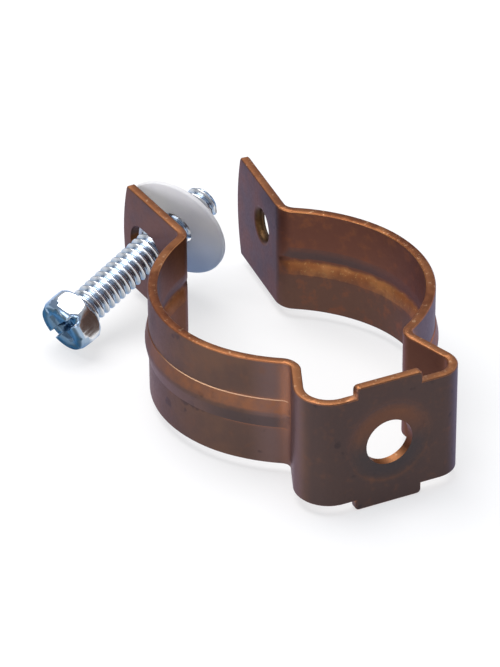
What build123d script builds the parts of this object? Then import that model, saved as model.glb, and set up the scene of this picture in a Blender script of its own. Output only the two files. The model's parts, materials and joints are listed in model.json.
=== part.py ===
"""Strap clip for a pipe: one folded copper-plated strip, its clamping screw and the
plastic washer that keeps the screw in its ear.  Millimetres, +Z along the pipe.

The origin is the middle of the fixing hole, on the outer face of the foot.
+X runs along the foot and +Y runs from the foot through the pipe to the two ears.
"""

import os
from math import asin, atan2, cos, degrees, isclose, radians, sin, sqrt, tan

from build123d import *

# The strip
strip_width = 19.05
strip_thickness = 1.6
rim_chamfer = 0.24

# Pipe seat: two arcs about the pipe's axis, their ends in degrees from +X
seat_radius = 21.45
seat_height = 34.44
seat_below_angle = 39.2
seat_above_angle = 26.8

# Lead arcs that open the arms away from the pipe beyond both ends of the seat
lead_radius = 25.5
lower_lead_angle = 17.9
upper_lead_angle = 30.9

# Bends, each with the radius on its hollow side: the two legs of the foot differ a little
neck_bend_radius = 1.6
right_neck_angle = 76.0
right_foot_bend_radius = 2.7
left_neck_angle = 79.3
left_foot_bend_radius = 3.9
ear_bend_radius = 2.1
ear_lean_angle = 4.8

# Foot plate with its wider tab and the fixing hole inside a shallow pressed ring
tab_width = 11.4
tab_height = 22.7
tab_corner_radius = 0.7
tab_root_radius = 1.0
tab_fillet_room = 0.95
fixing_hole_diameter = 7.94
ring_inner_diameter = 8.7
ring_valley_diameter = 12.8
ring_outer_diameter = 15.2
ring_depth = 0.22

# Ears, measured along the ear from the end of its bend
ear_length = 18.1
ear_end_radius = 31.0
ear_corner_radius = 0.5
slot_length = 10.4
slot_end_gap = 2.5
slot_clearance = 0.12
tapped_hole_diameter = 5.3
tapped_hole_station = 6.5
tapped_hole_rise = 1.8
tapped_entry_round = 1.0

# Pressed stiffening rib along each arm, and the groove behind it
rib_height = 0.66
rib_half_width = 2.5
rib_step = 0.15
rib_ledge_angle = 56.0
rib_crest_radius = 3.0
rib_root = 0.35
rib_neck_angle = 22.0
rib_ear_angle = 12.0
groove_half_width = 3.3

# Clamping screw, leaning in its slot: placed from the middle of the slot
thread_diameter = 6.2
screw_length = 31.0
tip_chamfer = 0.8
head_across_flats = 9.525
head_height = 4.4
head_face_inset = 0.38
head_face_bevel = 1.85
head_seat_inset = 0.15
head_seat_bevel = 0.95
head_waist_reach = 0.5
recess_slot_width = 1.3
recess_slot_depth = 1.0
recess_wing_width = 1.7
recess_wing_span = 5.6
recess_wing_depth = 2.0
recess_taper_angle = 8.0
screw_shift = 0.1
screw_rise = -0.1
screw_reach = 16.9
screw_out_angle = 15.6
screw_up_angle = 17.1
head_turn_angle = 46.5

# Retaining washer, tilted on the screw until it meets the end of the ear
washer_diameter = 19.1
washer_thickness = 0.9
washer_edge_chamfer = 0.2
washer_bore_clearance = 0.08
washer_ear_clearance = 0.18
washer_out_angle = 29.0
washer_up_angle = 13.5

half_width = strip_width / 2
line_tolerance = 0.001
ear_angle = seat_above_angle + upper_lead_angle + ear_lean_angle

# Both halves about the pipe's axis: a plane whose x points away from the middle, then the leg's bends
right_plane = Plane((0, seat_height, 0))
left_plane = Plane((0, seat_height, 0), x_dir=(-1, 0, 0), z_dir=(0, 0, -1))
halves = (
    (right_plane, right_neck_angle, right_foot_bend_radius),
    (left_plane, left_neck_angle, left_foot_bend_radius),
)


def arm_line(depth):
    """Draw an arm's seat and its two lead arcs, a given depth outward of the pipe's side."""
    seat = CenterArc((0, 0), seat_radius + depth, -seat_below_angle, seat_below_angle + seat_above_angle)
    lower_lead = JernArc(seat @ 0, -(seat % 0), lead_radius + depth, -lower_lead_angle)
    upper_lead = JernArc(seat @ 1, seat % 1, lead_radius + depth, upper_lead_angle)
    return lower_lead, upper_lead


def strip_face_line(depth, neck_angle, foot_bend_radius):
    """Draw one face of half the strip at a depth, its leg just long enough to reach the foot's level."""
    lower_lead, upper_lead = arm_line(depth)
    neck = JernArc(lower_lead @ 1, lower_lead % 1, neck_bend_radius + strip_thickness - depth, neck_angle)
    foot_angle = 90 - seat_below_angle - lower_lead_angle + neck_angle
    foot_radius = foot_bend_radius + depth
    foot_level = strip_thickness - depth - seat_height
    bend_drop = foot_radius * (1 - cos(radians(foot_angle)))
    side_length = ((neck @ 1).Y - bend_drop - foot_level) / sin(radians(foot_angle))
    side = Line(neck @ 1, neck @ 1 + (neck % 1) * side_length)
    foot_bend = JernArc(side @ 1, side % 1, foot_radius, -foot_angle)
    foot = Line(foot_bend @ 1, (0, foot_level))
    ear_bend = JernArc(upper_lead @ 1, upper_lead % 1, ear_bend_radius + strip_thickness - depth, -ear_angle)
    return foot, ear_bend


def rib_crest_outline():
    """Draw half of the raised rib: a round crest, a straight flank and a steep fine step at its foot."""
    flank = atan2(rib_height - rib_step, rib_half_width)
    crest_height = rib_height - rib_crest_radius * (1 / cos(flank) - 1)
    crest = JernArc((0, crest_height), (1, 0), rib_crest_radius, -degrees(flank))
    ledge_run = (rib_step + rib_root) / tan(radians(rib_ledge_angle))
    ledge_foot = (rib_half_width + ledge_run, -rib_root)
    Polyline(crest @ 1, (rib_half_width, rib_step), ledge_foot, (0, -rib_root), crest @ 0)


def rib_groove_outline():
    """Draw half of the groove behind the rib: an arc from the strip's face to a sharp valley."""
    arc = TangentArc((groove_half_width, 0), (0, rib_height), tangent=(-1, 0))
    Polyline(arc @ 1, (0, -rib_root), (groove_half_width, -rib_root), arc @ 0)


def press_rib(half_plane, depth, half_outline, mode):
    """Run a rib's section along an arm at a depth, part way round both bends until they swallow it."""
    neck_radius = neck_bend_radius + strip_thickness - depth
    ear_radius = ear_bend_radius + strip_thickness - depth
    with BuildLine(half_plane) as path:
        lower_lead, upper_lead = arm_line(depth)
        neck = JernArc(lower_lead @ 1, lower_lead % 1, neck_radius, rib_neck_angle)
        Line(neck @ 1, neck @ 1 + (neck % 1) * neck_radius)
        ear = JernArc(upper_lead @ 1, upper_lead % 1, ear_radius, -rib_ear_angle)
        Line(ear @ 1, ear @ 1 + (ear % 1) * ear_radius)
    wire = path.wires()[0]
    outward = wire @ 0 - half_plane.origin
    along = wire % 0
    with BuildSketch(Plane(wire @ 0, x_dir=outward.cross(along), z_dir=along)) as section:
        with BuildLine():
            half_outline()
        make_face()
        mirror(about=Plane.YZ)
    sweep(section.sketch, path=wire, mode=mode)


# Where the strip's inner face ends, with the pipe's centre at the origin
foot_ends = []
for half_plane, neck_angle, foot_bend_radius in halves:
    with BuildLine():
        foot_inner, ear_bend_inner = strip_face_line(0, neck_angle, foot_bend_radius)
    foot_ends.append((foot_inner @ 0).X)
foot_flat = 2 * min(foot_ends)
foot_plane = Plane((0, 0, 0), x_dir=(1, 0, 0), z_dir=(0, 1, 0))

# Fillets of the tab, made smaller where its reach beyond the strip has no room for them
tab_reach = (tab_height - strip_width) / 2
tab_fillet_share = min(1, tab_fillet_room * tab_reach / (tab_corner_radius + tab_root_radius))

# Planes on the inner faces of the ears: x along the ear, y up, z towards +X
ear_root = ear_bend_inner @ 1
lean_sine = sin(radians(ear_lean_angle))
lean_cosine = cos(radians(ear_lean_angle))


def ear_plane(side):
    """Place a plane on an ear's inner face, at the end of its bend: side is +1 or -1."""
    origin = (side * ear_root.X, ear_root.Y + seat_height, 0)
    return Plane(origin, x_dir=(side * lean_sine, lean_cosine, 0), z_dir=(lean_cosine, -side * lean_sine, 0))


left_ear_plane = ear_plane(-1)
right_ear_plane = ear_plane(1)


def ear_outline():
    """Draw an ear: straight sides and a shallow round end."""
    end_drop = ear_end_radius - sqrt(ear_end_radius**2 - half_width**2)
    corner = ear_length - end_drop
    lower = Line((0, -half_width), (corner, -half_width))
    end = ThreePointArc(lower @ 1, (ear_length, 0), (corner, half_width))
    upper = Line(end @ 1, (0, half_width))
    Line(upper @ 1, lower @ 0)


def ring_outline(depth):
    """Draw half of the pressed ring's section: a shallow valley that starts at a depth in the foot."""
    Polyline(
        (ring_inner_diameter / 2, depth),
        (ring_valley_diameter / 2, depth + ring_depth),
        (ring_outer_diameter / 2, depth),
        close=True,
    )


def lean_direction(lean_out, lean_up):
    """Return a direction in the left ear's own axes, leaning outward and up by two angles."""
    return Vector(tan(radians(lean_out)), tan(radians(lean_up)), 1).normalized()


def plane_from_ear(place, direction, turn):
    """Place a plane square to a direction, both in the left ear's own axes, turned from upright."""
    origin = left_ear_plane.from_local_coords(place)
    normal = left_ear_plane.from_local_coords(place + direction) - origin
    return Plane(origin, x_dir=Vector(0, 0, 1).rotate(Axis((0, 0, 0), normal), turn), z_dir=normal)


# Slot in the left ear, just high enough for the leaning screw
lean_up = radians(screw_up_angle)
leaning_height = thread_diameter / cos(lean_up) + strip_thickness * tan(lean_up)
slot_height = leaning_height + 2 * (abs(screw_rise) + slot_clearance)
slot_station = ear_length - slot_end_gap - slot_length / 2

# Screw axis through the slot, and the washer's place on it
screw_lean = lean_direction(screw_out_angle, screw_up_angle)
slot_point = Vector(slot_station + screw_shift, screw_rise, -strip_thickness / 2)
screw_plane = plane_from_ear(slot_point - screw_lean * screw_reach, screw_lean, head_turn_angle)
screw_axis = Axis(screw_plane.origin, screw_plane.z_dir)
screw_side_plane = Plane(screw_plane.origin, x_dir=screw_plane.x_dir, z_dir=-screw_plane.y_dir)
head_face_plane = screw_plane.offset(-head_height)

# Barrel that rounds the corners of the head
head_flat_radius = head_across_flats / 2
head_face_radius = head_flat_radius - head_face_inset
head_seat_radius = head_flat_radius - head_seat_inset
head_waist_radius = head_flat_radius + head_waist_reach

washer_lean = lean_direction(washer_out_angle, washer_up_angle)
contact_turn = min(atan2(washer_lean.Y, washer_lean.X), asin(half_width / ear_end_radius))
contact_drop = ear_end_radius * (1 - cos(contact_turn))
ear_contact = Vector(ear_length - contact_drop, ear_end_radius * sin(contact_turn), 0)
washer_lift = washer_thickness / 2 + washer_ear_clearance
washer_cosine = screw_lean.dot(washer_lean)
washer_station = ((ear_contact - slot_point).dot(washer_lean) + washer_lift) / washer_cosine
washer_plane = plane_from_ear(slot_point + screw_lean * washer_station, washer_lean, 0)
washer_tangent = sqrt(1 / washer_cosine**2 - 1)
leaning_bore = thread_diameter / washer_cosine + washer_thickness * washer_tangent
washer_bore_radius = leaning_bore / 2 + washer_bore_clearance


with BuildPart() as strap:
    # Both halves of the folded strip, each with its rib and the groove behind it
    for half_plane, neck_angle, foot_bend_radius in halves:
        with BuildSketch(half_plane):
            with BuildLine():
                foot_near, ear_near = strip_face_line(0, neck_angle, foot_bend_radius)
                foot_far, ear_far = strip_face_line(strip_thickness, neck_angle, foot_bend_radius)
                Line(foot_near @ 1, foot_far @ 1)
                Line(ear_near @ 1, ear_far @ 1)
            make_face()
        extrude(amount=half_width, both=True)
        press_rib(half_plane, strip_thickness, rib_crest_outline, Mode.ADD)
        press_rib(half_plane, 0, rib_groove_outline, Mode.SUBTRACT)
    # Tab on the foot
    with BuildSketch(foot_plane) as foot_plate:
        Rectangle(foot_flat, strip_width)
        Rectangle(tab_width, tab_height)
        tab_vertices = foot_plate.vertices().filter_by(lambda v: abs(v.X) < foot_flat / 2 - line_tolerance)
        tab_corners = tab_vertices.filter_by(lambda v: abs(v.Y) > half_width + line_tolerance)
        tab_roots = tab_vertices - tab_corners
        fillet(tab_corners, tab_fillet_share * tab_corner_radius)
        fillet(tab_roots, tab_fillet_share * tab_root_radius)
    extrude(amount=strip_thickness)
    # Ears
    with BuildSketch(left_ear_plane) as left_ear:
        with BuildLine():
            ear_outline()
        make_face()
        fillet(left_ear.vertices().group_by(Axis.X)[-1], ear_corner_radius)
    extrude(amount=-strip_thickness)
    with BuildSketch(right_ear_plane) as right_ear:
        with BuildLine():
            ear_outline()
        make_face()
        fillet(right_ear.vertices().group_by(Axis.X)[-1], ear_corner_radius)
    extrude(amount=strip_thickness)
    # Broken rims, all along both edges of the strip
    cut_lines = strap.edges().filter_by(lambda e: isclose(e.length, strip_thickness, abs_tol=line_tolerance))
    rim_faces = strap.faces().filter_by(lambda f: any(line in cut_lines for line in f.edges()))
    chamfer(rim_faces.edges() - cut_lines, rim_chamfer)
    # Fixing hole and the ring pressed in round it
    with BuildSketch(Plane.XY):
        with BuildLine():
            ring_outline(0)
        make_face()
    revolve(axis=Axis.Y, mode=Mode.SUBTRACT)
    with BuildSketch(Plane.XY):
        with BuildLine():
            ring_outline(strip_thickness)
        make_face()
    revolve(axis=Axis.Y)
    with BuildSketch(foot_plane):
        Circle(fixing_hole_diameter / 2)
    extrude(amount=strip_thickness, mode=Mode.SUBTRACT)
    # Slot and tapped hole in the ears
    with BuildSketch(left_ear_plane):
        with Locations((slot_station, 0)):
            SlotOverall(slot_length, slot_height)
    extrude(amount=-strip_thickness, mode=Mode.SUBTRACT)
    with BuildSketch(right_ear_plane):
        with Locations((tapped_hole_station, tapped_hole_rise)):
            Circle(tapped_hole_diameter / 2)
    extrude(amount=strip_thickness, mode=Mode.SUBTRACT)
    tapped_rims = strap.edges().filter_by(GeomType.CIRCLE).filter_by(
        lambda e: isclose(e.radius, tapped_hole_diameter / 2) and e.center().X > 0
    )
    fillet(tapped_rims.sort_by(Axis.X)[0], tapped_entry_round)

with BuildPart() as screw:
    # Hexagon head, its corners rounded to a barrel so that the flats become ovals
    with BuildSketch(screw_plane):
        RegularPolygon(head_flat_radius, 6, major_radius=False)
    extrude(amount=-head_height)
    with BuildSketch(screw_side_plane):
        with BuildLine():
            Polyline(
                (0, -head_height),
                (head_face_radius, -head_height),
                (head_waist_radius, head_face_bevel - head_height),
                (head_waist_radius, -head_seat_bevel),
                (head_seat_radius, 0),
                (0, 0),
                close=True,
            )
        make_face()
    revolve(axis=screw_axis, mode=Mode.INTERSECT)
    # Screwdriver slot with a tapered cross in its middle
    with BuildSketch(head_face_plane):
        Rectangle(2 * head_across_flats, recess_slot_width)
    extrude(amount=recess_slot_depth, mode=Mode.SUBTRACT)
    with BuildSketch(head_face_plane):
        Rectangle(recess_wing_span, recess_wing_width)
        Rectangle(recess_wing_width, recess_wing_span)
    extrude(amount=recess_wing_depth, taper=recess_taper_angle, mode=Mode.SUBTRACT)
    # Shank
    with BuildSketch(screw_plane):
        Circle(thread_diameter / 2)
    extrude(amount=screw_length)
    chamfer(screw.edges().group_by(screw_axis)[-1], tip_chamfer)

with BuildPart() as retaining_washer:
    with BuildSketch(washer_plane):
        Circle(washer_diameter / 2)
        Circle(washer_bore_radius, mode=Mode.SUBTRACT)
    extrude(amount=washer_thickness / 2, both=True)
    rims = retaining_washer.edges().filter_by(GeomType.CIRCLE).sort_by(SortBy.RADIUS)[-2:]
    chamfer(rims, washer_edge_chamfer)

os.makedirs("parts", exist_ok=True)
strap.part.label = "strap"
screw.part.label = "screw"
retaining_washer.part.label = "retaining_washer"
export_step(strap.part, "parts/strap.step")
export_step(screw.part, "parts/screw.step")
export_step(retaining_washer.part, "parts/retaining_washer.step")
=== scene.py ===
"""Looks of the pipe clip: copper-plated strap, zinc screw with its thread, translucent washer."""

import json
import math
from types import SimpleNamespace

import bmesh
import bpy
from mathutils import Matrix, Vector


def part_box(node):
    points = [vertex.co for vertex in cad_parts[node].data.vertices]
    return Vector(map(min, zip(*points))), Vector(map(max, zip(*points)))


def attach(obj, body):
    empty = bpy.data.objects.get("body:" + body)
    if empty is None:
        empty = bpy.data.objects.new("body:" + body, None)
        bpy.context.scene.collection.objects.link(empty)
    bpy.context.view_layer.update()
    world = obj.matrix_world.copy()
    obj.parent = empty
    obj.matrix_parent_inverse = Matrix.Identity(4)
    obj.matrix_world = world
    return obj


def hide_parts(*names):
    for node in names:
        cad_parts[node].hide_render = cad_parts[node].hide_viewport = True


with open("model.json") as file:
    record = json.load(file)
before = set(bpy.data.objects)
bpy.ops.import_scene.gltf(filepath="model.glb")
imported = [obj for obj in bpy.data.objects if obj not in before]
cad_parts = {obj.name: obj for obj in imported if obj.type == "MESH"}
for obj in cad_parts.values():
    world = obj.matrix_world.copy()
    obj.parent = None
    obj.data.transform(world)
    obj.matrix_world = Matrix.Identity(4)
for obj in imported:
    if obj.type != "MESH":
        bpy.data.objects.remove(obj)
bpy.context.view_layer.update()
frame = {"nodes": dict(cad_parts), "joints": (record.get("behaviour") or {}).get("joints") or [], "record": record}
scene = bpy.context.scene
MM = 0.001


def millimetres(*lengths):
    return tuple(length * MM for length in lengths)


# Axes that the looks follow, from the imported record

pipe_seat = next(mount for mount in frame["record"]["mounts"] if mount["name"] == "pipe_seat")
pipe_axis = (0, pipe_seat["pos_m"][1], 0)
turn = next(joint for joint in frame["joints"] if joint["name"] == "screw_turn")
seat = Vector(turn["pos_m"])
axis = Vector(turn["axis"]).normalized()


# Mesh helpers

WELD_DISTANCE = 0.002 * MM
NORMAL_WEIGHT = 90


def welded_copy(node):
    """Copy a CAD node into a bmesh and join the seams between its faces."""
    bm = bmesh.new()
    bm.from_mesh(frame["nodes"][node].data)
    bmesh.ops.remove_doubles(bm, verts=bm.verts, dist=WELD_DISTANCE)
    return bm


def add_piece(name, bm, node):
    """Make a piece of a finished bmesh that stands for the CAD node, on the body of the same name."""
    mesh = bpy.data.meshes.new(name)
    bm.to_mesh(mesh)
    bm.free()
    piece = bpy.data.objects.new(name, mesh)
    scene.collection.objects.link(piece)
    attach(piece, node)
    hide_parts(node)
    return piece


def smooth(piece, degrees):
    """Shade a piece smooth, sharp above an angle, with the large faces leading the normals."""
    mesh = piece.data
    mesh.polygons.foreach_set("use_smooth", [True] * len(mesh.polygons))
    mesh.set_sharp_from_angle(angle=math.radians(degrees))
    normals = piece.modifiers.new("normals", "WEIGHTED_NORMAL")
    normals.keep_sharp = True
    normals.weight = NORMAL_WEIGHT


# Material helpers


class Shader:
    """A node tree written as calls: each returns the socket that it makes."""

    def __init__(self, name):
        self.material = bpy.data.materials.new(name)
        self.material.use_nodes = True
        self.tree = self.material.node_tree
        self.tree.nodes.clear()

    def feed(self, socket, value):
        if isinstance(value, bpy.types.NodeSocket):
            self.tree.links.new(value, socket)
        else:
            socket.default_value = value

    def node(self, kind, settings=None, **inputs):
        """Add a node: an input is named, with _ for a space, or numbered as i0, i1 and so on."""
        made = self.tree.nodes.new(kind)
        for key, value in (settings or {}).items():
            setattr(made, key, value)
        for key, value in inputs.items():
            numbered = key[0] == "i" and key[1:].isdigit()
            self.feed(made.inputs[int(key[1:]) if numbered else key.replace("_", " ")], value)
        return made

    def maths(self, operation, a, b=0.0):
        return self.node("ShaderNodeMath", {"operation": operation}, i0=a, i1=b).outputs[0]

    def product(self, *factors):
        total = factors[0]
        for factor in factors[1:]:
            total = self.maths("MULTIPLY", total, factor)
        return total

    def rest_of(self, share):
        return self.maths("SUBTRACT", 1.0, share)

    def vector(self, operation, a, b=(0, 0, 0)):
        made = self.node("ShaderNodeVectorMath", {"operation": operation}, i0=a, i1=b)
        return made.outputs["Value" if operation in ("DOT_PRODUCT", "LENGTH") else "Vector"]

    def split(self, vector):
        return self.node("ShaderNodeSeparateXYZ", None, i0=vector).outputs

    def span(self, value, between, to=(0.0, 1.0)):
        """Carry a value from one range to another in a smooth step."""
        made = self.node("ShaderNodeMapRange", {"interpolation_type": "SMOOTHSTEP"})
        self.feed(made.inputs["Value"], value)
        for key, number in zip(("From Min", "From Max", "To Min", "To Max"), (*between, *to)):
            made.inputs[key].default_value = number
        return made.outputs["Result"]

    def fade(self, value, between, share=1.0):
        """Fall from a share to nothing as a value crosses a range."""
        return self.span(value, between, (share, 0.0))

    def mix(self, factor, a, b):
        return self.node("ShaderNodeMix", {"data_type": "RGBA"}, i0=factor, i6=a, i7=b).outputs[2]

    def blend(self, factor, a, b):
        """Mix two plain numbers."""
        return self.node("ShaderNodeMix", {"data_type": "FLOAT"}, i0=factor, i2=a, i3=b).outputs[0]

    def noise(self, place, scale, detail=4.0, roughness=0.55):
        settings = {"Scale": scale, "Detail": detail, "Roughness": roughness}
        return self.node("ShaderNodeTexNoise", None, Vector=place, **settings).outputs[0]

    def bump(self, height, strength, distance):
        inputs = {"Strength": strength, "Distance": distance, "Height": height}
        return self.node("ShaderNodeBump", None, **inputs).outputs[0]

    def finish(self, surface):
        out = self.tree.nodes.new("ShaderNodeOutputMaterial")
        self.tree.links.new(surface, out.inputs["Surface"])
        return self.material


def colour(r, g, b):
    return (r, g, b, 1.0)


# Copper plate: ranges in the shared frame over which a look sets in or fades

FOOT = millimetres(2.0, 4.0)
LEG_START = millimetres(3.0, 5.0)
LEG_END = millimetres(15.0, 18.0)
EARS = millimetres(52.0, 60.0)
FAR_SIDE = millimetres(-2.0, 4.0)
STRAP_MIDDLE = millimetres(-2.0, 2.0)
FAR_OUTSIDE = millimetres(5.0, 9.0)
RING = millimetres(5.0, 8.6)
RING_HEIGHTS = millimetres(-2.0, 4.0)
FAR_ARM_HEIGHTS = millimetres(-4.0, 0.0)
NEAR_EAR_BEND = millimetres(45.0, 49.0)
CHANNEL_END = millimetres(14.0, 20.0)
ARM_START = millimetres(20.0, 27.0)
ARM_HIGHLIGHT_FADE = millimetres(24.0, 40.0)
GROOVE_SLATE = millimetres(34.0, 50.0)
GLOW_HEIGHTS = millimetres(-7.0, 3.0)
CREASE_REACH = 2.5 * MM
CREASE_END = millimetres(19.0, 22.0)
TAP_CENTRE = (0, *millimetres(64.0, 1.8))
TAP_ENTRY = millimetres(2.8, 3.7)
RIM_HEIGHTS = millimetres(7.6, 8.6)
TAN_FOOT = millimetres(8.0, 24.0)
TAN_EARS = millimetres(50.0, 58.0)
STEP_HEIGHTS = millimetres(2.7, 3.0)
STEP_END = millimetres(27.0, 37.0)
LEANING_DOWN = (0.02, 0.24)


def strap_masks(s):
    """Find the noises and the regions of the strap that the copper's tarnish and its painted light and shade
    follow.
    """
    at = SimpleNamespace()
    coordinates = s.node("ShaderNodeTexCoord").outputs
    at.place = coordinates["Object"]
    at.normal = coordinates["Normal"]
    at.x, at.y, at.z = s.split(at.place)
    at.across, _, at.up = s.split(at.normal)
    at.clouds = s.noise(at.place, 110.0, 3.0)
    at.mottle = s.noise(at.place, 520.0, 4.0, 0.6)
    at.grain = s.noise(at.place, 1800.0, 5.0, 0.65)
    at.foot = s.fade(at.y, FOOT)
    at.ears = s.span(at.y, EARS)
    at.far = s.span(at.x, FAR_SIDE)
    at.height = s.maths("ABSOLUTE", at.z)
    radial = s.vector("MULTIPLY", s.vector("SUBTRACT", at.place, pipe_axis), (1, 1, 0))
    facing = s.vector("DOT_PRODUCT", s.vector("NORMALIZE", radial), at.normal)
    at.inside = s.fade(facing, (-0.8, -0.3), 0.85)
    at.leaning_down = s.span(s.maths("MULTIPLY", at.up, -1.0), LEANING_DOWN)
    return at


def outer_film_and_painted_light(s, at):
    """A dull tarnish between plum and brown, with dark stains; painted shade darkens the foot, painted light
    lightens the legs, and painted light and shade lie on the far side and round the hole.
    """
    film_and_painted_light = s.mix(s.span(at.clouds, (0.36, 0.64)), colour(0.098, 0.060, 0.048), colour(0.128, 0.072, 0.050))
    # painted shade: the foot is darker
    film_and_painted_light = s.mix(s.product(at.foot, 0.85), film_and_painted_light, colour(0.068, 0.047, 0.044))
    # painted light: the legs are lighter
    legs = s.product(s.span(at.y, LEG_START), s.fade(at.y, LEG_END))
    film_and_painted_light = s.mix(s.product(legs, 0.8), film_and_painted_light, colour(0.150, 0.095, 0.088))
    film_and_painted_light = s.mix(s.span(at.mottle, (0.52, 0.75), (0.0, 0.3)), film_and_painted_light, colour(0.150, 0.070, 0.042))
    ear_plum = s.mix(at.far, colour(0.086, 0.058, 0.058), colour(0.060, 0.047, 0.056))
    ear_brown = s.mix(at.far, colour(0.122, 0.064, 0.050), colour(0.105, 0.046, 0.036))
    ear_film = s.mix(s.span(at.clouds, (0.4, 0.6)), ear_plum, ear_brown)
    film_and_painted_light = s.mix(s.product(at.ears, 0.8), film_and_painted_light, ear_film)
    stains = s.span(s.noise(at.place, 300.0, 2.0, 0.5), (0.66, 0.72))
    film_and_painted_light = s.mix(s.product(stains, 0.5), film_and_painted_light, colour(0.030, 0.025, 0.028))
    # painted reflection: the outward faces on the far side are slate blue
    far_outside = s.product(s.span(at.across, (0.2, 0.8), (0.0, 0.8)), s.span(at.x, FAR_OUTSIDE))
    film_and_painted_light = s.mix(far_outside, film_and_painted_light, colour(0.074, 0.074, 0.104))
    # painted light and shade on the pressed ring of the foot: warm above the hole, slate below it
    from_hole = s.vector("LENGTH", s.vector("MULTIPLY", at.place, (1, 0, 1)))
    ring = s.product(s.fade(from_hole, RING, 0.6), at.foot)
    ring_painted_light = s.mix(s.span(at.z, RING_HEIGHTS), colour(0.046, 0.044, 0.046), colour(0.150, 0.066, 0.038))
    return s.mix(ring, film_and_painted_light, ring_painted_light)


def inner_film_and_painted_reflection(s, at, film_and_painted_light):
    """Towards the pipe, painted reflection and shade: a redder far arm with mottled spots of its own, a slate near
    arm, brown at its ear, and warm legs.
    """
    # painted reflection: the inside of the far arm is redder, lighter higher up, with mottled spots of its own
    far_painted_reflection_and_spots = s.mix(s.span(at.z, FAR_ARM_HEIGHTS), colour(0.128, 0.066, 0.048), colour(0.165, 0.064, 0.042))
    far_painted_reflection_and_spots = s.mix(s.span(at.mottle, (0.5, 0.7), (0.0, 0.6)), far_painted_reflection_and_spots, colour(0.230, 0.078, 0.040))
    # painted shade on the inside of the near arm, turning to a painted brown reflection by its ear
    near_painted_shade_and_reflection = s.mix(s.span(at.y, NEAR_EAR_BEND), colour(0.056, 0.050, 0.060), colour(0.150, 0.058, 0.017))
    film_and_painted_light = s.mix(at.inside, film_and_painted_light, s.mix(at.far, near_painted_shade_and_reflection, far_painted_reflection_and_spots))
    # painted reflection: the inner faces of the legs by the foot are warm
    outward = s.product(s.span(at.x, STRAP_MIDDLE, (-1.0, 1.0)), at.across)
    channel = s.product(s.fade(outward, (-0.7, -0.1), 0.75), s.fade(at.y, CHANNEL_END))
    return s.mix(channel, film_and_painted_light, colour(0.170, 0.062, 0.028))


def painted_light_by_lean(s, at, film_and_painted_light):
    """Painted light by lean: leaning up, the surface takes a painted orange highlight in patches, most in the far
    groove; leaning down, it takes painted shade.
    """
    # painted highlight: faces that lean up turn orange, in patches
    lean_with_jitter = s.maths("ADD", at.up, s.span(at.mottle, (0.3, 0.7), (-0.03, 0.03)))
    groove = s.product(at.inside, s.span(at.far, (0.0, 1.0), (0.75, 1.0)))
    arm_patches = s.span(at.mottle, (0.3, 0.6), (0.7, 0.92))
    groove_patches = s.span(at.mottle, (0.3, 0.5), (0.8, 1.0))
    patches = s.blend(groove, arm_patches, groove_patches)
    near_foot = s.span(at.y, ARM_HIGHLIGHT_FADE, (1.0, 0.6))
    painted_highlight = s.product(s.span(lean_with_jitter, (0.0, 0.34)), patches, s.blend(groove, near_foot, 1.0))
    painted_highlight = s.product(painted_highlight, s.span(at.foot, (0.0, 1.0), (1.0, 0.45)))
    # painted highlight in the far groove is gold, with painted glint specks
    highlight_gold = s.mix(s.span(at.clouds, (0.4, 0.6)), colour(0.50, 0.182, 0.062), colour(0.72, 0.31, 0.105))
    highlight_copper = s.mix(groove, colour(0.25, 0.096, 0.040), highlight_gold)
    highlight_copper = s.mix(s.product(groove, s.span(at.grain, (0.56, 0.68))), highlight_copper, colour(0.78, 0.43, 0.16))
    film_and_painted_light = s.mix(painted_highlight, film_and_painted_light, highlight_copper)
    # painted shade: faces that lean down turn slate
    slate = s.blend(at.inside, s.fade(at.y, ARM_START, 0.5), s.span(at.y, GROOVE_SLATE, (0.2, 0.8)))
    slate = s.blend(at.foot, slate, 0.35)
    film_and_painted_light = s.mix(s.product(at.leaning_down, slate), film_and_painted_light, colour(0.048, 0.048, 0.052))
    # painted shade: outside faces of the arms that lean down turn plum
    plum = s.product(at.leaning_down, s.span(at.y, ARM_START, (0.0, 0.6)), s.rest_of(at.inside))
    return s.mix(plum, film_and_painted_light, colour(0.140, 0.088, 0.076))


def crease_mask(s, at):
    """Find the hollows, the bends of the legs and the folds of the ears, for painted glow and painted shade."""
    settings = {"samples": 8, "only_local": True}
    hollow = s.node("ShaderNodeAmbientOcclusion", settings, Distance=CREASE_REACH).outputs["AO"]
    regions = s.maths("MAXIMUM", at.ears, s.fade(at.y, CREASE_END))
    return s.product(s.fade(hollow, (0.70, 0.98), 0.95), regions)


def painted_hollow_light(s, at, film_and_painted_light, crease):
    """Painted light in the hollows: a painted orange glow in the bends of the legs, brighter higher up, painted
    shade in the folds of the ears, and painted dull-bronze shade in the tapped hole.
    """
    # painted glow of light bounced in the bends of the legs, brighter higher up; painted shade in the folds of the
    # ears
    glow = s.mix(s.span(at.z, GLOW_HEIGHTS), colour(0.20, 0.075, 0.034), colour(0.44, 0.155, 0.052))
    film_and_painted_light = s.mix(crease, film_and_painted_light, s.mix(at.ears, glow, colour(0.040, 0.026, 0.022)))
    # painted shade in the entry of the tapped hole
    from_tap = s.vector("MULTIPLY", s.vector("SUBTRACT", at.place, TAP_CENTRE), (0, 1, 1))
    tap = s.product(s.fade(s.vector("LENGTH", from_tap), TAP_ENTRY, 0.85), at.far)
    return s.mix(tap, film_and_painted_light, colour(0.075, 0.045, 0.018))


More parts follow.
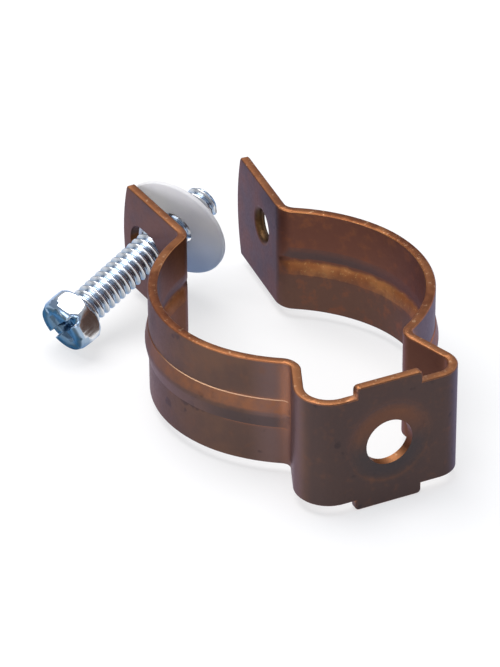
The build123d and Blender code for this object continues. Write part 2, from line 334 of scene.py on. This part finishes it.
def bright_edges(s, at, film_and_painted_light):
    """Sheared rims are brighter, partly as cut copper and partly as painted highlight, with painted glint specks;
    a painted highlight lines the fine step above the near arm's rib.
    """
    outer = s.maths("MAXIMUM", at.foot, s.span(at.height, RIM_HEIGHTS))
    rim = s.product(s.span(s.maths("ABSOLUTE", at.up), (0.5, 0.8)), outer)
    shear_and_highlight = s.mix(s.span(at.mottle, (0.35, 0.65)), colour(0.145, 0.047, 0.017), colour(0.205, 0.074, 0.027))
    shear_and_highlight = s.mix(s.span(at.clouds, (0.48, 0.66), (0.0, 0.6)), shear_and_highlight, colour(0.37, 0.155, 0.060))
    # painted highlight: the rims near the foot and near the ears are lighter
    painted_tan_highlight = s.maths("MAXIMUM", s.fade(at.y, TAN_FOOT, 0.5), s.span(at.y, TAN_EARS, (0.0, 0.35)))
    shear_and_highlight = s.mix(painted_tan_highlight, shear_and_highlight, colour(0.43, 0.185, 0.075))
    # painted glint specks on the rims
    painted_glints = s.span(s.noise(at.place, 1300.0, 4.0, 0.6), (0.58, 0.70), (0.0, 0.6))
    shear_and_highlight = s.mix(painted_glints, shear_and_highlight, colour(0.60, 0.36, 0.20))
    film_and_painted_light = s.mix(rim, film_and_painted_light, shear_and_highlight)
    # painted highlight along the fine step above the near arm's rib
    step = s.product(s.span(at.up, (0.35, 0.6)), s.fade(at.height, STEP_HEIGHTS, 0.75))
    step = s.product(step, s.fade(at.inside, (0.0, 0.4)), s.fade(at.y, STEP_END), s.fade(at.far, (0.0, 1.0)))
    return s.mix(step, film_and_painted_light, colour(0.50, 0.32, 0.20))


def copper():
    """Brown tarnished copper: greyer on the ears, with painted reflection making the far arm redder, painted
    orange highlights where it leans up and painted shade where it leans down.
    """
    s = Shader("copper_plate")
    at = strap_masks(s)
    crease = crease_mask(s, at)
    film_and_painted_light = painted_light_by_lean(s, at, inner_film_and_painted_reflection(s, at, outer_film_and_painted_light(s, at)))
    base = bright_edges(s, at, painted_hollow_light(s, at, film_and_painted_light, crease))
    inputs = {
        "Base_Color": base,
        # less metallic in the bends of the legs, so that their painted glow shows
        "Metallic": s.blend(s.product(crease, s.rest_of(at.ears)), 0.9, 0.2),
        "Roughness": s.span(at.grain, (0.25, 0.75), (0.40, 0.48)),
        "Normal": s.bump(at.grain, 0.12, 0.05 * MM),
        "Specular_Tint": colour(0.76, 0.68, 0.84),
    }
    return s.finish(s.node("ShaderNodeBsdfPrincipled", None, **inputs).outputs[0])


# Zinc plate: depths along the screw from under its head, reaches from its axis

ROOT_REACH = millimetres(2.45, 3.0)
SHANK_START = millimetres(0.0, 0.2)
RECESS_REACH = millimetres(3.0, 3.6)
RECESS_DEPTH = millimetres(-2.3, -1.8)
HEAD_END = millimetres(-0.4, -0.1)


def zinc():
    """Bright zinc with painted blue reflection and shade: bluer and darker in the roots of the thread, dark blue
    on the face of the head and the slope round it, with blue edges.
    """
    s = Shader("zinc_plate")
    coordinates = s.node("ShaderNodeTexCoord").outputs
    place = coordinates["Object"]
    clouds = s.noise(place, 500.0, 3.0)
    grain = s.noise(place, 4000.0, 4.0)
    outward = s.vector("DOT_PRODUCT", coordinates["Normal"], tuple(-axis))
    from_seat = s.vector("SUBTRACT", place, tuple(seat))
    depth = s.vector("DOT_PRODUCT", from_seat, tuple(axis))
    reach = s.vector("LENGTH", s.vector("CROSS_PRODUCT", from_seat, tuple(axis)))
    base = s.mix(s.span(clouds, (0.35, 0.7)), colour(0.80, 0.81, 0.82), colour(0.89, 0.89, 0.89))
    # painted shade: the roots of the thread are darker and bluer
    root = s.product(s.fade(reach, ROOT_REACH), s.span(depth, SHANK_START))
    base = s.mix(root, base, colour(0.50, 0.59, 0.70))
    # painted reflection: the slope round the face of the head is blue
    bevel = s.product(s.span(outward, (0.1, 0.5), (0.0, 0.9)), s.fade(depth, HEAD_END))
    base = s.mix(bevel, base, colour(0.28, 0.40, 0.54))
    # painted reflection: the face of the head is dark blue with lighter veins
    streaks = s.mix(s.span(clouds, (0.60, 0.68)), colour(0.078, 0.120, 0.160), colour(0.40, 0.48, 0.56))
    base = s.mix(s.span(outward, (0.70, 0.92)), base, streaks)
    # painted shade: the cross in the head is dark blue
    recess = s.product(s.fade(reach, RECESS_REACH), s.fade(depth, RECESS_DEPTH))
    base = s.mix(recess, base, colour(0.13, 0.21, 0.30))
    inputs = {
        "Base_Color": base,
        "Metallic": 1.0,
        "Roughness": s.span(clouds, (0.3, 0.7), (0.20, 0.26)),
        "Normal": s.bump(grain, 0.015, 0.03 * MM),
        "Specular_Tint": colour(0.34, 0.52, 0.80),
    }
    return s.finish(s.node("ShaderNodeBsdfPrincipled", None, **inputs).outputs[0])


# Translucent plastic

WASHER_HEIGHTS = millimetres(-8.0, 6.0)
SEE_THROUGH_SHARE = 0.5


def washer_plastic():
    """Milky plastic with painted bluish shade towards the floor, half of it lit from behind."""
    s = Shader("washer_plastic")
    place = s.node("ShaderNodeTexCoord").outputs["Object"]
    clouds = s.noise(place, 220.0, 2.0)
    base = s.mix(s.span(clouds, (0.3, 0.7)), colour(0.88, 0.87, 0.88), colour(0.94, 0.93, 0.91))
    _, _, height = s.split(place)
    # painted shade: bluer and darker towards the floor
    base = s.mix(s.fade(height, WASHER_HEIGHTS, 0.9), base, colour(0.50, 0.63, 0.84))
    inputs = {"Base_Color": base, "Roughness": 0.42, "Normal": s.bump(clouds, 0.1, 0.05 * MM)}
    plastic = s.node("ShaderNodeBsdfPrincipled", None, **inputs).outputs[0]
    glow = s.node("ShaderNodeBsdfTranslucent", None, Color=base).outputs[0]
    both = s.node("ShaderNodeMixShader", None, i0=SEE_THROUGH_SHARE, i1=plastic, i2=glow)
    return s.finish(both.outputs[0])


# Strap

STRAP_SMOOTH_DEGREES = 40
strap = add_piece("strap_plate", welded_copy("strap"), "strap")
smooth(strap, STRAP_SMOOTH_DEGREES)
# the fine step along each rib stays a crisp line
LEDGE_LOW, LEDGE_HIGH = millimetres(2.45, 2.65)
for edge in strap.data.edges:
    heights = [abs(strap.data.vertices[index].co.z) for index in edge.vertices]
    if LEDGE_LOW < min(heights) and max(heights) < LEDGE_HIGH:
        edge.use_edge_sharp = True
strap.data.materials.append(copper())

# Screw: the CAD head with a rolled thread in place of the plain shank

SHANK_RADIUS = 3.1 * MM
SHANK_LENGTH = 31.0 * MM
TIP_CHAMFER = 0.8 * MM
PITCH = 1.27 * MM
ROOT_RADIUS = 2.38 * MM
STEPS = 64
SPARE_LAPS = 3
SHANK_MARGIN = 0.002 * MM
SCREW_SMOOTH_DEGREES = 50
THREAD_WELD = 0.001 * MM
THREAD_SLIVER = 0.0005 * MM
# one pitch of the thread: share of the pitch, share of the thread's depth
PROFILE = (
    (0.0, 0.0), (0.10, 0.04), (0.18, 0.16), (0.42, 0.88), (0.48, 0.98),
    (0.56, 1.0), (0.64, 0.98), (0.70, 0.88), (0.94, 0.16),
)

bm = welded_copy("screw")
shank = [face for face in bm.faces if (face.calc_center_median() - seat).dot(axis) > SHANK_MARGIN]
bmesh.ops.delete(bm, geom=shank, context="FACES")
bmesh.ops.holes_fill(bm, edges=[edge for edge in bm.edges if edge.is_boundary], sides=0)

across = axis.orthogonal().normalized()
along = axis.cross(across)


def thread_point(lap, share, height, step):
    """Place a point of the thread's helix, held between the head and the chamfered tip."""
    angle = 2 * math.pi * step / STEPS
    place = min(max(PITCH * (lap + share + step / STEPS), 0.0), SHANK_LENGTH)
    radius = ROOT_RADIUS + (SHANK_RADIUS - ROOT_RADIUS) * height
    radius = min(radius, SHANK_RADIUS - TIP_CHAMFER + SHANK_LENGTH - place)
    radial = across * math.cos(angle) + along * math.sin(angle)
    return seat + axis * place + radial * radius


rows = []
for lap in range(-1, int(SHANK_LENGTH / PITCH) + SPARE_LAPS):
    for share, height in PROFILE:
        rows.append([bm.verts.new(thread_point(lap, share, height, step)) for step in range(STEPS + 1)])
for lower, upper in zip(rows, rows[1:]):
    for step in range(STEPS):
        bm.faces.new((lower[step], lower[step + 1], upper[step + 1], upper[step]))
bm.faces.new(rows[-1][:STEPS])
bmesh.ops.remove_doubles(bm, verts=bm.verts, dist=THREAD_WELD)
bmesh.ops.dissolve_degenerate(bm, edges=bm.edges, dist=THREAD_SLIVER)
bmesh.ops.recalc_face_normals(bm, faces=bm.faces)
screw = add_piece("screw_thread", bm, "screw")
smooth(screw, SCREW_SMOOTH_DEGREES)
screw.data.materials.append(zinc())

# Washer

WASHER_SMOOTH_DEGREES = 50
washer = add_piece("washer_disc", welded_copy("retaining_washer"), "retaining_washer")
smooth(washer, WASHER_SMOOTH_DEGREES)
washer.data.materials.append(washer_plastic())

# Floor: pale paper, part of it plain white to the camera and in reflections

FLOOR = 4.0
BACKGROUND_SHARE = 0.6


def floor_paper():
    s = Shader("floor_paper")
    place = s.node("ShaderNodeTexCoord").outputs["Object"]
    tone = s.mix(s.noise(place, 6.0, 2.0), colour(0.86, 0.86, 0.87), colour(0.89, 0.89, 0.89))
    paper = s.node("ShaderNodeBsdfDiffuse", None, Color=tone).outputs[0]
    white = s.node("ShaderNodeEmission", None, Color=colour(1, 1, 1), Strength=1.0).outputs[0]
    rays = s.node("ShaderNodeLightPath").outputs
    seen = s.maths("MAXIMUM", rays["Is Camera Ray"], rays["Is Glossy Ray"])
    seen = s.maths("MAXIMUM", seen, rays["Is Transmission Ray"])
    share = s.product(seen, BACKGROUND_SHARE)
    return s.finish(s.node("ShaderNodeMixShader", None, i0=share, i1=paper, i2=white).outputs[0])


low = min(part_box(node)[0].z for node in frame["nodes"])
mesh = bpy.data.meshes.new("floor")
corners = [(-FLOOR, -FLOOR, low), (FLOOR, -FLOOR, low), (FLOOR, FLOOR, low), (-FLOOR, FLOOR, low)]
mesh.from_pydata(corners, [], [(0, 1, 2, 3)])
floor = bpy.data.objects.new("floor", mesh)
scene.collection.objects.link(floor)
floor.data.materials.append(floor_paper())

# Light: places and sizes in metres, powers in watts

LAMP_AIM = Vector((0, 0.035, 0))


def softbox(name, place, width, height, power, tint):
    lamp = bpy.data.lights.new(name, "AREA")
    lamp.shape = "RECTANGLE"
    lamp.size = width
    lamp.size_y = height
    lamp.energy = power
    lamp.color = tint
    lamp_object = bpy.data.objects.new(name, lamp)
    lamp_object.location = place
    lamp_object.rotation_euler = (LAMP_AIM - Vector(place)).to_track_quat("-Z", "Y").to_euler()
    scene.collection.objects.link(lamp_object)


softbox("overhead", place=(-0.1, 0.25, 0.75), width=0.7, height=0.7, power=7.0, tint=(1.0, 0.98, 0.96))
softbox("left_fill", place=(-0.6, -0.2, 0.16), width=0.6, height=0.3, power=2.0, tint=(0.90, 0.90, 1.0))
softbox("right_fill", place=(0.7, 0.1, 0.2), width=0.5, height=0.4, power=1.2, tint=(0.88, 0.90, 1.0))

WORLD_TINT = colour(0.78, 0.84, 0.95)
WORLD_STRENGTH = 0.5
world = bpy.data.worlds.new("studio")
scene.world = world
world.use_nodes = True
background = world.node_tree.nodes["Background"]
background.inputs["Color"].default_value = WORLD_TINT
background.inputs["Strength"].default_value = WORLD_STRENGTH

# Camera, fitted to the photograph's outlines

AZIMUTH = math.radians(25.258)
ELEVATION = math.radians(32.755)
ROLL = math.radians(0.449)
PIXELS_PER_M = 6475.0
FOCAL_PIXELS = 3914.1
OFFSET_U = 137.302
OFFSET_V = -105.846
FOOT_MIDDLE = Vector((0, 0.757 * MM, 0))
IMAGE_HEIGHT = 667
SENSOR_HEIGHT = 36.0
CLIP_END = 20.0

right = Vector((math.cos(AZIMUTH), -math.sin(AZIMUTH), 0))
level = Vector((math.sin(AZIMUTH), math.cos(AZIMUTH), 0))
up = level * math.sin(ELEVATION) + Vector((0, 0, math.cos(ELEVATION)))
back = Vector((0, 0, math.sin(ELEVATION))) - level * math.cos(ELEVATION)
side = right * math.cos(ROLL) - up * math.sin(ROLL)
top = right * math.sin(ROLL) + up * math.cos(ROLL)
lens = bpy.data.cameras.new("camera")
lens.sensor_fit = "VERTICAL"
lens.sensor_height = SENSOR_HEIGHT
lens.lens = FOCAL_PIXELS / IMAGE_HEIGHT * SENSOR_HEIGHT
lens.clip_end = CLIP_END
camera = bpy.data.objects.new("camera", lens)
eye = FOOT_MIDDLE + (back * FOCAL_PIXELS - side * OFFSET_U - top * OFFSET_V) / PIXELS_PER_M
camera.matrix_world = Matrix.Translation(eye) @ Matrix((side, top, back)).transposed().to_4x4()
scene.collection.objects.link(camera)
scene.camera = camera

scene.view_settings.view_transform = "Standard"
